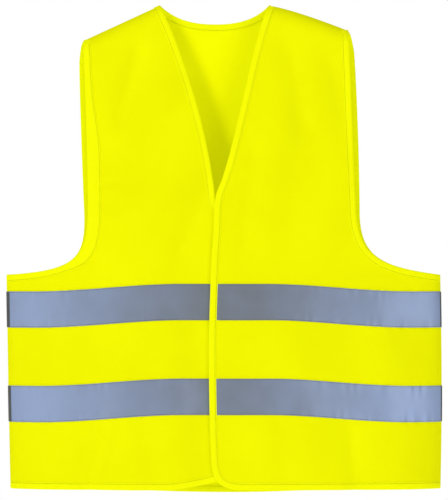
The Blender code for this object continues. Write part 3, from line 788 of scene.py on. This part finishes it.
def rolled_x(side, z, turn, grow=0.0):
    """Where the rolled side join's surface is, from its front edge at -1 to its back edge at 1."""
    bulge = math.sqrt(max(0.0, 1 - turn * turn))
    reach = side_line(z) * SIDE_U / HALF_WIDTH + SIDE_JOIN_STANDS + SIDE_JOIN_BULGE * bulge + grow
    return SIDE[side] * reach + sway(z)


def tape_piece(name, tape, stretches, finish):
    """A tape laid over the cloth. stretches are (side, layer, first u, last u) in order. A front
    tape starts under the front edge's binding, so it lies closer to the cloth there."""
    rows = np.array([-0.5, -0.485, -0.44, -0.3, -0.1, 0.1, 0.3, 0.44, 0.485, 0.5]) * TAPE_WIDTH
    outer, inner = [], []
    for side, layer, first, last in stretches:
        starts = np.full(len(rows), first)
        if layer == "front":
            starts += edge_u(side, TAPE_CENTRE_Z[tape] + rows) - edge_u(side, TAPE_CENTRE_Z[tape])
        for share in np.linspace(0, 1, round(abs(last - first) / TAPE_STEP)):
            u = starts + (last - starts) * share
            column = np.stack([u, tape_z(tape, u) + rows], 1)
            rise = smooth((u - starts - TAPE_HELD) / TAPE_RISES_OVER)
            sunk = TAPE_SUNK * (1 - rise) if layer == "front" else 0
            outer.append(hang(side, layer, column, TAPE_PROUD + TAPE / 2 - sunk))
            inner.append(hang(side, layer, column, TAPE_PROUD - TAPE / 2 - sunk))
    size = len(rows)
    faces = [[i * size + k, (i + 1) * size + k, (i + 1) * size + k + 1, i * size + k + 1]
             for i in range(len(outer) - 1) for k in range(size - 1)]
    made = new_piece(name, *solid(np.concatenate(outer), np.concatenate(inner), faces), finish)
    return made


def tape_tracks(tape, stretches):
    """Stitch lines along both of a tape's edges."""
    tracks = []
    for side, layer, first, last in stretches:
        u = np.linspace(first, last, 120)
        if layer == "front":
            u = u[u > first + 2 * TAPE_HELD]
        for edge in (1, -1):
            path = np.stack([u, tape_z(tape, u) + edge * (TAPE_WIDTH / 2 - TAPE_SEAM_INSET)], 1)
            tracks.append(track_on(side, layer, path, TAPE_PROUD + TAPE / 2))
    return tracks


def tape_turn(tape, side, finish):
    """The end of a tape, turned round the side join and sewn in, in a painted shade that makes it
    dark edge on.
    """
    z = tape_z(tape, SIDE_U) + np.linspace(-0.49, 0.49, 15) * TAPE_WIDTH
    half = side_half_depth(z)
    ends = (SIDE_U - TURN_REACH[side], SIDE_U - SIDE_JOIN_LIP)
    sheets = []
    for proud, grow in (TURN_OUTSIDE, TURN_INSIDE):
        sheet = [hang(side, "front", np.stack([0 * z + u, z], 1), proud) for u in ends]
        for turn in np.linspace(-0.8, 0.8, 7):
            sheet.append(np.stack([rolled_x(side, z, turn, grow), turn * (half + grow), z], 1))
        sheet += [hang(side, "back", np.stack([0 * z + u, z], 1), proud) for u in ends[::-1]]
        sheets.append(sheet)
    made = new_piece(f"{side}_{tape}_tape_turn",
                     *swept(np.stack(sheets[0] + sheets[1][::-1], 1)), finish)
    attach(made, "torso")
    return made


def build_tapes(finish, shaded_turn_finish, thread):
    """The six tapes, their stitches and their turned ends."""
    for tape in TAPE_CENTRE_Z:
        for side in SIDE:
            start = edge_u(side, TAPE_CENTRE_Z[tape]) + BINDING_WIDTH - TAPE_HELD
            stretch = [(side, "front", start, SIDE_U)]
            made = tape_piece(f"{side}_{tape}_tape", tape, stretch, finish)
            tracks = tape_tracks(tape, stretch)
            sewn = stitches(f"{side}_{tape}_tape_stitches", tracks, thread)
            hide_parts(f"{side}_{tape}_tape_flap", f"{side}_{tape}_tape_side")
            swing(made)
            swing(sewn)
        across = [("right", "back", SIDE_U, 0.002), ("left", "back", 0.002, SIDE_U)]
        made = tape_piece(f"back_{tape}_tape_sewn", tape, across, finish)
        tracks = tape_tracks(tape, across)
        sewn = stitches(f"back_{tape}_tape_stitches", tracks, thread)
        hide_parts(f"back_{tape}_tape")
        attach(made, "torso")
        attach(sewn, "torso")
        turns = [tape_turn(tape, side, shaded_turn_finish) for side in SIDE]


def build_front_bindings(finish, thread):
    """Each front's binding, from the neck point round to the side, with its stitches."""
    made_for = {}
    for side in SIDE:
        path = front_edge(side)
        rings = binding_rings(side, "front", path, 1)
        made = new_piece(f"{side}_front_edge_binding", *swept(rings), finish)
        line = inset(path, BINDING_WIDTH - BINDING_STITCH_INSET, 1)
        tracks = [track_on(side, "front", line, BINDING_STITCH_LIES)]
        sewn = stitches(f"{side}_front_edge_stitches", tracks, thread)
        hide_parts(f"{side}_front_binding", f"{side}_front_hem_binding")
        swing(made)
        swing(sewn)
        made_for[side] = [made, sewn]
    return made_for


def shift_between(ring, other, size):
    """How far to turn another ring's numbering for its points to lie nearest this ring's."""
    gaps = [np.linalg.norm(np.roll(other, s, axis=0) - ring, axis=1).sum() for s in range(size)]
    return int(np.argmin(gaps))


def build_armholes(finish, thread):
    """One binding round each armhole: up the front, over the shoulder and down the back."""
    for side in SIDE:
        front, back = armhole(side, "front"), armhole(side, "back")
        front_rings = binding_rings(side, "front", front, -1)
        back_rings = binding_rings(side, "back", back, -1)
        turned = back_rings[:, ::-1]
        size = front_rings.shape[1]
        turned = np.roll(turned, shift_between(front_rings[0], turned[0], size), axis=1)
        rings = np.concatenate([front_rings[::-1], turned[1:]])
        made = new_piece(f"{side}_armhole_binding", *swept(rings), finish)
        tracks = []
        for layer, path in (("front", front), ("back", back)):
            widths = binding_widths(side, layer, path)
            line = inset(path, widths - BINDING_STITCH_INSET, -1)[1:]
            tracks.append(track_on(side, layer, line, BINDING_STITCH_LIES))
        sewn = stitches(f"{side}_armhole_stitches", tracks, thread)
        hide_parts(f"{side}_front_armhole_binding", f"{side}_back_armhole_binding")
        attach(made, "torso")
        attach(sewn, "torso")


def inner_track(side, line):
    """The same stitch line on the inside of the back, which shows through the V."""
    points, normals = track_on(side, "back", line, -BINDING_STITCH_LIES)
    return points, -normals


def build_back_bindings(finish, thread):
    """The bindings of the back neck and the back hem, each in one piece across both sides."""
    u = np.linspace(0, SIDE_U, 60)
    hem = np.stack([u, hem_z(u, "back")], 1)
    neck = back_neck()[::-1]
    for name, path, inner_side, node_name in (
        ("back_hem_edge_binding", hem, 1, "back_hem_binding"),
        ("back_neck_edge_binding", neck, -1, "back_neck_binding"),
    ):
        left = binding_rings("left", "back", path, inner_side)
        right = binding_rings("right", "back", path, inner_side)
        made = new_piece(name, *swept(np.concatenate([right[:0:-1], left])), finish)
        line = inset(path, BINDING_WIDTH - BINDING_STITCH_INSET, inner_side)
        tracks = [track_on(side, "back", line, BINDING_STITCH_LIES) for side in SIDE]
        tracks += [inner_track(side, line) for side in SIDE]
        sewn = stitches(f"{name}_stitches", tracks, thread)
        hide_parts(node_name)
        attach(made, "torso")
        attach(sewn, "torso")


def build_seams(finish):
    """The flat joins along the shoulders, and the joins down the sides."""
    for side in SIDE:
        u = np.linspace(NECK_U, SHOULDER_U, 40)
        arch = [(-0.0050, -0.0016), (-0.0034, -0.0005), (0, 0.0002), (0.0034, -0.0005),
                (0.0050, -0.0016), (0.0034, -0.0019), (0, -0.0013), (-0.0034, -0.0019)]
        x = SIDE[side] * u * side_line(0 * u) / HALF_WIDTH + sway(shoulder_z(side, u))
        rings = np.stack([
            np.stack([x, 0 * u + y, shoulder_z(side, u) + rise], 1) for y, rise in arch
        ], 1)
        made = new_piece(f"{side}_shoulder_join", *swept(rings), finish)
        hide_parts(f"{side}_shoulder_seam")
        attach(made, "torso")
        build_side_seam(side, finish)


def build_side_seam(side, finish):
    """The rolled join down the side, from the hem to the underarm."""
    z = np.linspace(-SIDE_LENGTH - SIDE_JOIN_ENDS, UNDERARM_Z + SIDE_JOIN_ENDS, 80)
    half = side_half_depth(z)
    rings = []
    for turn in np.linspace(-1, 1, 9):
        rings.append(np.stack([rolled_x(side, z, turn), turn * (half + SIDE_JOIN_OUTSIDE), z], 1))
    inner_x = SIDE[side] * (side_line(z) * SIDE_U / HALF_WIDTH - SIDE_JOIN_LIP) + sway(z)
    for turn in np.linspace(1, -1, 5):
        rings.append(np.stack([inner_x, turn * (half - SIDE_JOIN_INSIDE), z], 1))
    made = new_piece(f"{side}_side_join", *swept(np.stack(rings, 1)), finish)
    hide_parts(f"{side}_side_seam")
    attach(made, "torso")


def rounded(u, z, half_width, half_height, radius):
    """A rectangle with rounded corners, in the pattern."""
    corners = []
    for i, (a, b) in enumerate(((1, 1), (-1, 1), (-1, -1), (1, -1))):
        for turn in np.linspace(0, math.pi / 2, 5):
            angle = i * math.pi / 2 + turn
            corners.append((u + a * (half_width - radius) + radius * math.cos(angle),
                            z + b * (half_height - radius) + radius * math.sin(angle)))
    return np.array(corners)


def build_patches(finish, thread):
    """Rounded hook and loop patches, sewn round their edges."""
    for name, centre in PATCH_CENTRE_Z.items():
        for side, kind, facing in (("left", "hook", -1), ("right", "loop", 1)):
            middle = SIDE[side] * (PATCH_MIDDLE_X - float(sway(centre)))
            outline = rounded(middle, centre, PATCH_WIDTH / 2, PATCH_HEIGHT / 2, 0.003)
            u = np.arange(middle - PATCH_WIDTH / 2, middle + PATCH_WIDTH / 2, 0.003)
            z = np.arange(centre - PATCH_HEIGHT / 2, centre + PATCH_HEIGHT / 2, 0.004)
            grid = np.stack(np.meshgrid(u, z), -1).reshape(-1, 2)
            flat, faces = filled(outline, grid)
            near = hang(side, "front", flat, facing * PATCH_NEAR)
            far = hang(side, "front", flat, facing * PATCH_FAR)
            outer, inner = (far, near) if facing > 0 else (near, far)
            made = new_piece(f"{kind}_{name}", *solid(outer, inner, faces), finish)
            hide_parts(f"{kind}_patch_{name}")
            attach(made, f"{side}_front")
            sewn_sizes = (PATCH_WIDTH / 2 - PATCH_SEWN_IN, PATCH_HEIGHT / 2 - PATCH_SEWN_IN)
            ring = rounded(middle, centre, *sewn_sizes, 0.002)
            points, normals = track_on(side, "front", [*ring, ring[0]], facing * PATCH_FAR)
            sewn = stitches(f"{kind}_{name}_stitches", [(points, normals * facing)], thread)
            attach(sewn, f"{side}_front")


def build_label(finish):
    """A blank satin label, sewn along one edge and bowed a little."""
    joint = joint_named("care_label_swing")
    sewn = np.array(joint["pos_m"])
    across, down = np.linspace(0, 1, LABEL_COLUMNS), np.linspace(0, 1, LABEL_ROWS)
    share, drop = (g.reshape(-1) for g in np.meshgrid(across, down))
    bow = LABEL_BOW * np.sin(share * math.pi * 0.9) + LABEL_WAVE * np.sin(drop * 5 + share * 2)
    middle = sewn + np.stack([-share * LABEL_WIDTH, bow, -drop * LABEL_HEIGHT], 1)
    half = np.array((0, LABEL_THICKNESS / 2, 0))
    corners = [row * LABEL_COLUMNS + column for row in range(LABEL_ROWS - 1)
               for column in range(LABEL_COLUMNS - 1)]
    faces = [[c, c + 1, c + LABEL_COLUMNS + 1, c + LABEL_COLUMNS] for c in corners]
    made = new_piece("blank_label", *solid(middle - half, middle + half, faces), finish)
    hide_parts("care_label")
    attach(made, "label")


def build_cloth(finish, back_finish_lit_brighter):
    """The two fronts and the back."""
    for side in SIDE:
        made = front_cloth(side, finish)
        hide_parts(f"{side}_front_flap", f"{side}_front_side")
        swing(made)
        outline = front_outline(side)
    # the back in the brighter copy, whose painted glow lifts its shade
    made = back_cloth(back_finish_lit_brighter)
    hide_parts("back_panel")
    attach(made, "torso")
    area = flat_area(back_outline("left")) + flat_area(back_outline("right"))


# ---------------------------------------------------------------- stage, light and camera

def build_stage():
    """A plain pale floor below the vest."""
    low, half = -1.15, 4.0
    paint, shader, _ = shader_of("pale_floor", (0.94, 0.94, 0.94), 0.9, 0.1)
    add_painted_glow(shader, (1.0, 1.0, 1.0), 0.35)
    mesh = bpy.data.meshes.new("floor")
    corners = [(-half, -half), (half, -half), (half, half), (-half, half)]
    mesh.from_pydata([(x, y, low) for x, y in corners], [], [(0, 1, 2, 3)])
    mesh.materials.append(paint)
    floor = bpy.data.objects.new("floor", mesh)
    bpy.context.scene.collection.objects.link(floor)


def area_light(name, place, target, size, power):
    """A round lamp at a place, turned to a target."""
    data = bpy.data.lights.new(name, "AREA")
    data.shape = "DISK"
    data.size = size
    data.energy = power
    made = bpy.data.objects.new(name, data)
    made.location = place
    made.rotation_euler = (Vector(target) - Vector(place)).to_track_quat("-Z", "Y").to_euler()
    bpy.context.scene.collection.objects.link(made)


def build_light():
    """Three soft lights, in a sky that is seen white but lights the vest less."""
    world = bpy.data.worlds.new("studio")
    world.use_nodes = True
    tree = world.node_tree
    sky = tree.nodes["Background"]
    sky.inputs["Color"].default_value = (1.0, 1.0, 1.0, 1)
    seen = node(tree, "ShaderNodeLightPath").outputs["Is Camera Ray"]
    strength = node(tree, "ShaderNodeMapRange", [("Value", seen)])
    strength.inputs["To Min"].default_value = 0.36
    strength.inputs["To Max"].default_value = 1.0
    tree.links.new(strength.outputs[0], sky.inputs["Strength"])
    bpy.context.scene.world = world
    chest = (0, 0, -0.35)
    area_light("key", (-2.0, -2.2, 1.5), chest, 0.9, 45)
    area_light("fill", (1.9, -2.4, -0.1), chest, 2.0, 18)
    area_light("back_fill", (1.4, 3.0, 1.2), chest, 1.6, 34)


def build_camera():
    """A long lens, level and square on to the front."""
    middle_x, middle_z, view_height = -0.0021, -0.3403, 0.6945
    lens, sensor = 300.0, 36.0
    data = bpy.data.cameras.new("camera")
    data.lens = lens
    data.sensor_width = sensor
    made = bpy.data.objects.new("camera", data)
    plane_y = -0.020
    made.location = (middle_x, plane_y - view_height * lens / sensor, middle_z)
    made.rotation_euler = (math.pi / 2, 0, 0)
    bpy.context.scene.collection.objects.link(made)
    bpy.context.scene.camera = made


def build():
    cloth, binding, tape = cloth_finish("fluorescent_knit", 0.09), binding_finish(), tape_finish()
    # the back's knit: a brighter copy whose stronger painted glow lifts the shade inside the back,
    # seen through the V and from behind
    back_cloth_lit_brighter = cloth_finish("fluorescent_knit_back_lit_brighter", 0.16)
    # thread darker than the knit: partly its own colour, partly painted shade for the shaded groove
    # along the bindings' stitched edge
    thread = thread_finish("yellow_thread_and_groove_shade", (0.46, 0.49, 0.0))
    # near black thread: partly its own colour, partly painted shadow along the tapes' edges
    tape_thread_and_edge_shadow = thread_finish("grey_thread_and_edge_shadow", (0.09, 0.10, 0.12))
    pile, satin = pile_finish(), label_finish()
    bindings = build_front_bindings(binding, thread)
    build_seams(cloth)
    build_cloth(cloth, back_cloth_lit_brighter)
    build_tapes(tape, shaded_turned_tape_finish(), tape_thread_and_edge_shadow)
    build_armholes(binding, thread)
    build_back_bindings(binding, thread)
    build_patches(pile, thread)
    build_label(satin)
    build_stage()
    build_light()
    build_camera()
    bpy.context.scene.view_settings.view_transform = "Standard"


build()
